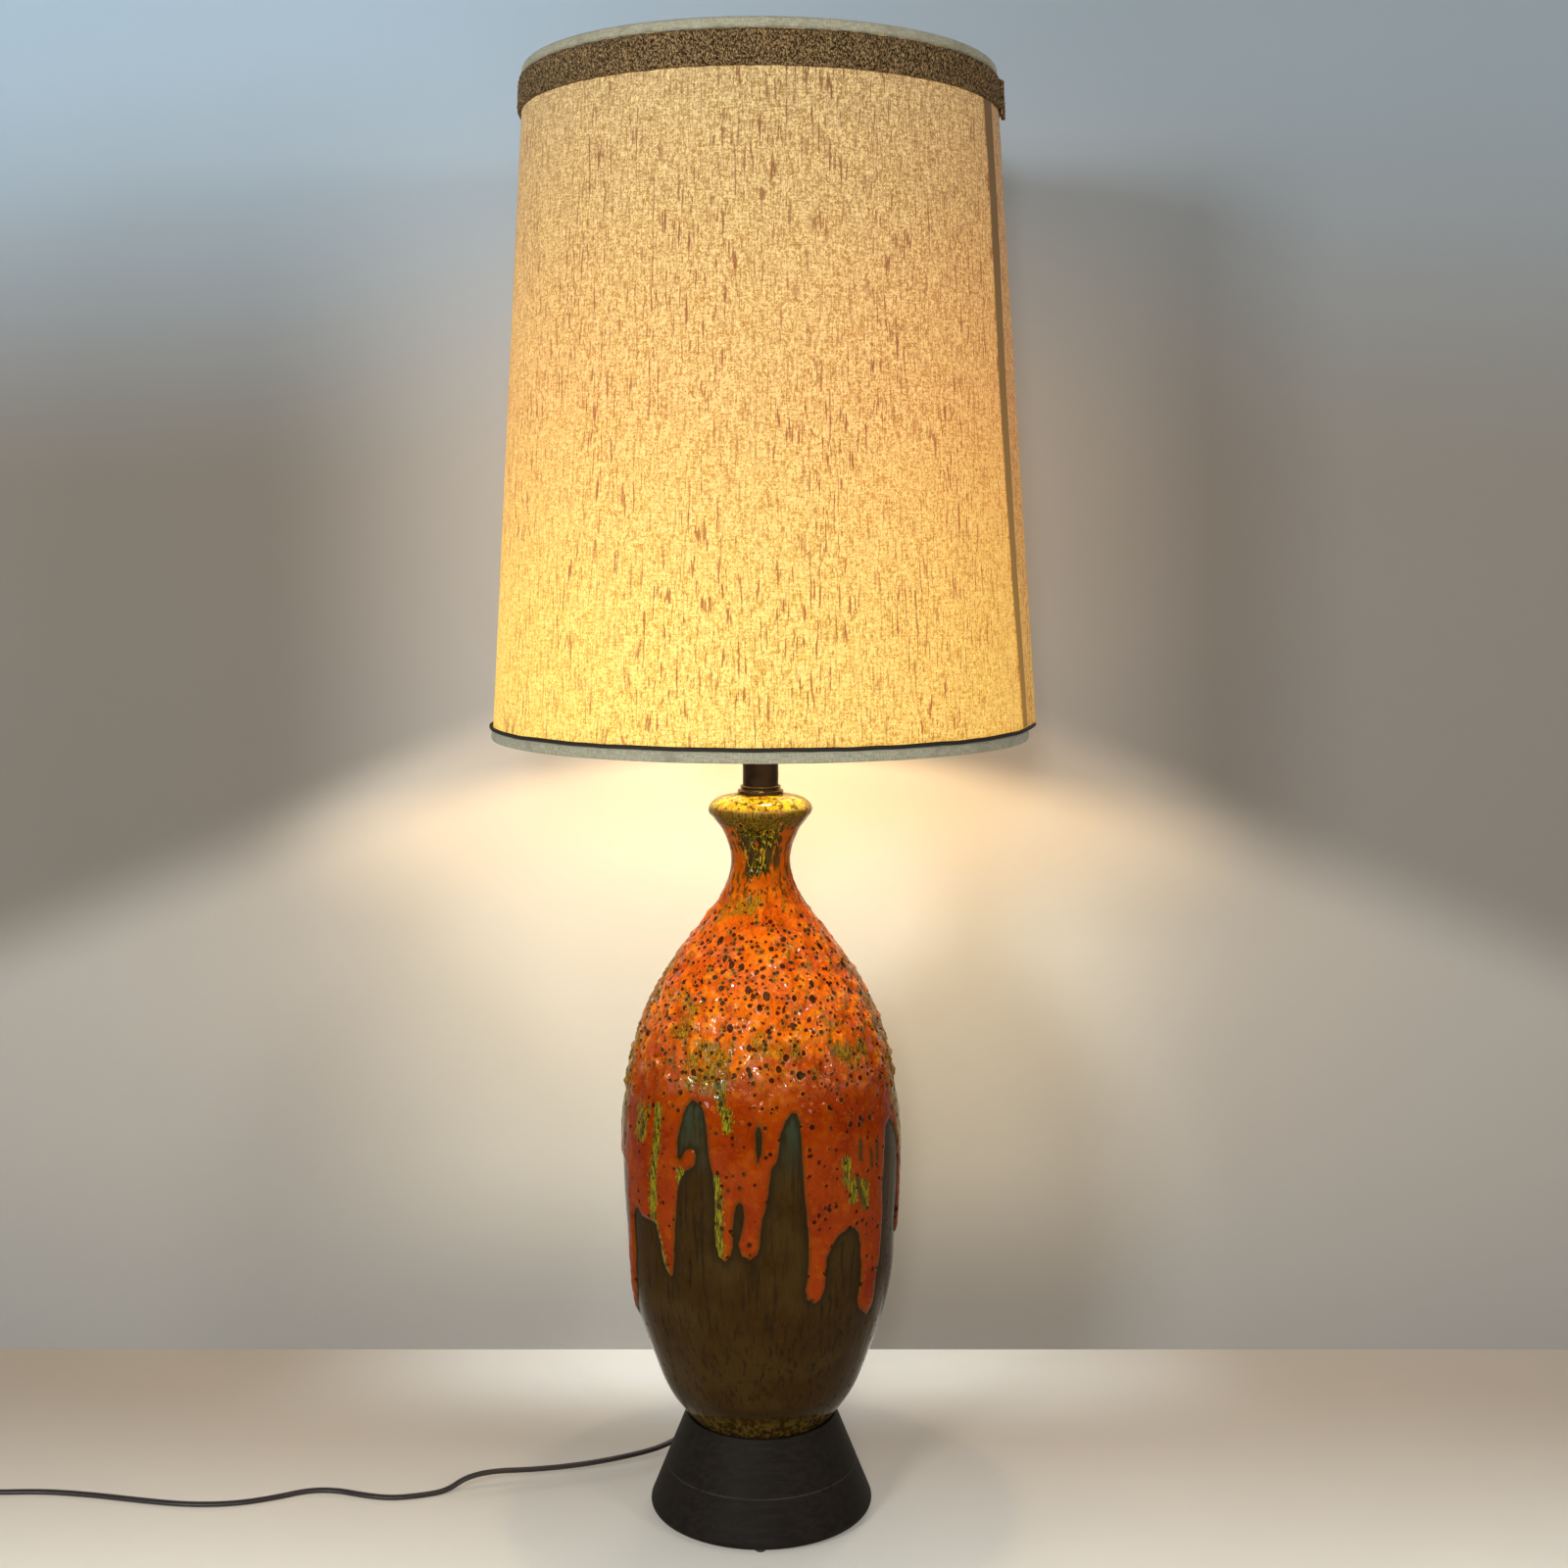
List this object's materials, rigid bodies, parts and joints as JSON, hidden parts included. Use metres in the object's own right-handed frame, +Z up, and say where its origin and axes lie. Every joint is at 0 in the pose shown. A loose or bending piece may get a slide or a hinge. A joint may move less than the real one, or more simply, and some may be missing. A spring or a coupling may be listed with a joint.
{
  "type": "table lamp",
  "caption": "Tall ceramic table lamp with a drip-glazed bottle body, turned wooden base, harp, tapered fabric drum shade and a cord with a plug.",
  "frame": {"origin": "centre of the lamp on the floor, under the rubber feet", "axes": "+Z up along the lamp's axis, -Y towards the front, the cord leaves the back and lies towards -X"},
  "size_m": [0.9048, 0.4102, 1.1044],
  "materials": {
    "dark_wood": "dark stained, satin",
    "rubber": "matte",
    "glaze": "gloss drip glaze, dark olive brown under orange",
    "steel": "zinc plated",
    "brass": "satin, slightly aged",
    "bronze": "dark bronze, satin",
    "card": "matte",
    "moulding": "moulded, semi gloss",
    "cord_skin": "brown, satin",
    "bushing": "matte",
    "blade_brass": "polished",
    "solder": "dull",
    "cap_metal": "satin",
    "bulb_glass": "clear to frosted",
    "stem_glass": "clear",
    "wire_paint": "cream enamel",
    "liner": "translucent white styrene",
    "cloth": "slubbed beige weave",
    "tape": "fine pale grey green weave",
    "piping": "dark brown cord",
    "braid": "brown looped wool",
    "seam_cloth": "folded lap of the cloth"
  },
  "bodies": {
    "stand": {"wood_base_lower": "dark_wood", "wood_base_upper": "dark_wood", "rubber_feet": "rubber", "ceramic_body": "glaze", "base_washer": "steel", "base_locknut": "steel", "lamp_pipe": "steel", "neck_ring": "brass", "neck_tube": "bronze", "harp_saddle": "steel", "saddle_locknut": "steel", "socket_cap": "brass", "cap_set_screw": "steel", "socket_shell": "brass", "socket_liner": "card", "socket_body": "moulding", "screw_shell": "brass", "centre_contact": "brass", "terminal_screws": "brass", "lead_wires": "cord_skin", "cord_bushing": "bushing", "cord_inside": "cord_skin", "cord_free": "cord_skin", "cord_coil": "cord_skin", "cord_tail": "cord_skin", "plug_body": "cord_skin", "plug_blades": "blade_brass"},
    "switch_key": {"switch_key_shaft": "brass", "switch_key_knob": "moulding"},
    "bulb": {"bulb_contact": "solder", "bulb_insulator": "moulding", "bulb_cap": "cap_metal", "bulb_glass": "bulb_glass", "bulb_stem": "stem_glass"},
    "harp": {"harp_wire": "bronze"},
    "ferrule_left": {"ferrule_left": "brass"},
    "ferrule_right": {"ferrule_right": "brass"},
    "harp_stud": {"harp_stud": "brass"},
    "shade": {"shade_fitter": "wire_paint", "shade_ring_top": "wire_paint", "shade_ring_bottom": "wire_paint", "shade_liner": "liner", "shade_fabric": "cloth", "shade_tape_bottom": "tape", "shade_piping": "piping", "shade_gimp": "braid", "shade_gimp_tail": "braid", "shade_tape_top": "tape", "shade_seam": "seam_cloth"},
    "finial": {"finial": "brass"}
  },
  "joints": [
    {"name": "key_turn", "type": "hinge", "parent": "stand", "child": "switch_key", "pos_m": [0, 0, 0.64015], "axis": [0, -1, 0], "continuous": true},
    {"name": "bulb_unscrew", "type": "hinge", "parent": "stand", "child": "bulb", "pos_m": [0, 0, 0.66], "axis": [0, 0, 1], "continuous": true},
    {"name": "harp_lift", "type": "slide", "parent": "stand", "child": "harp", "axis": [0, 0, 1], "range_m": [0, 0.014]},
    {"name": "ferrule_left_lift", "type": "slide", "parent": "harp", "child": "ferrule_left", "axis": [0, 0, 1], "range_m": [0, 0.012]},
    {"name": "ferrule_right_lift", "type": "slide", "parent": "harp", "child": "ferrule_right", "axis": [0, 0, 1], "range_m": [0, 0.012]},
    {"name": "stud_swivel", "type": "hinge", "parent": "harp", "child": "harp_stud", "pos_m": [0, 0, 0.9781], "axis": [0, 0, 1], "continuous": true},
    {"name": "shade_lift", "type": "slide", "parent": "harp_stud", "child": "shade", "axis": [0, 0, 1], "range_m": [0, 0.016]},
    {"name": "finial_turn", "type": "hinge", "parent": "shade", "child": "finial", "pos_m": [0, 0, 0.9822], "axis": [0, 0, 1], "continuous": true}
  ]
}
